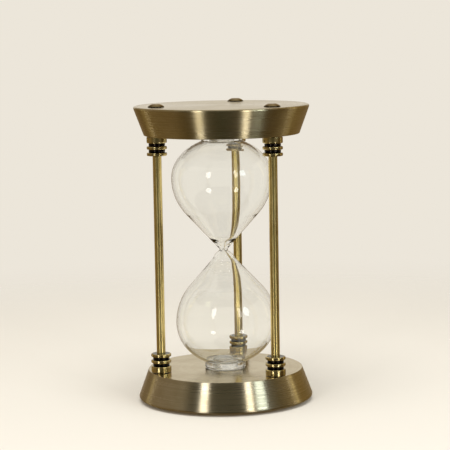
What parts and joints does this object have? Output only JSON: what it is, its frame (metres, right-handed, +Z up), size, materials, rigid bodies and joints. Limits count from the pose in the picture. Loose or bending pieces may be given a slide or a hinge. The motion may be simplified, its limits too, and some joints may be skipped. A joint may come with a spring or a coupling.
{
  "type": "hourglass",
  "caption": "Empty hourglass: one-piece blown glass with two bulbs, held between round brass end plates by pillars with turned collars.",
  "frame": {"origin": "centre of the bottom, in the plane of the three lower cap screws' flat ends", "axes": "+Z up along the hourglass; +Y towards the back pillar; the other two pillars are at the front"},
  "size_m": [0.1, 0.1, 0.1716],
  "materials": {
    "plate_brass": "brushed antique brass, lacquered",
    "cover_brass": "brushed antique brass, lacquered",
    "collar_brass": "turned antique brass with dark patina in the grooves",
    "screw_brass": "antique brass, smooth low cone",
    "rod_brass": "satin antique brass",
    "bulb_glass": "clear hand-blown glass",
    "stopper_clear": "clear plug",
    "pad_silicone": "translucent soft pad"
  },
  "bodies": {
    "root": {"base_shell": "plate_brass", "top_shell": "plate_brass", "base_cover": "cover_brass", "top_cover": "cover_brass", "base_seat_pad": "pad_silicone", "top_seat_pad": "pad_silicone", "base_stopper": "stopper_clear", "top_stopper": "stopper_clear", "base_collar_1": "collar_brass", "base_collar_2": "collar_brass", "base_collar_3": "collar_brass", "top_collar_1": "collar_brass", "top_collar_2": "collar_brass", "top_collar_3": "collar_brass", "base_cap_screw_1": "screw_brass", "base_cap_screw_2": "screw_brass", "base_cap_screw_3": "screw_brass", "top_cap_screw_1": "screw_brass", "top_cap_screw_2": "screw_brass", "top_cap_screw_3": "screw_brass", "pillar_rod_1": "rod_brass", "pillar_rod_2": "rod_brass", "pillar_rod_3": "rod_brass", "glass_bulbs": "bulb_glass"}
  },
  "joints": []
}
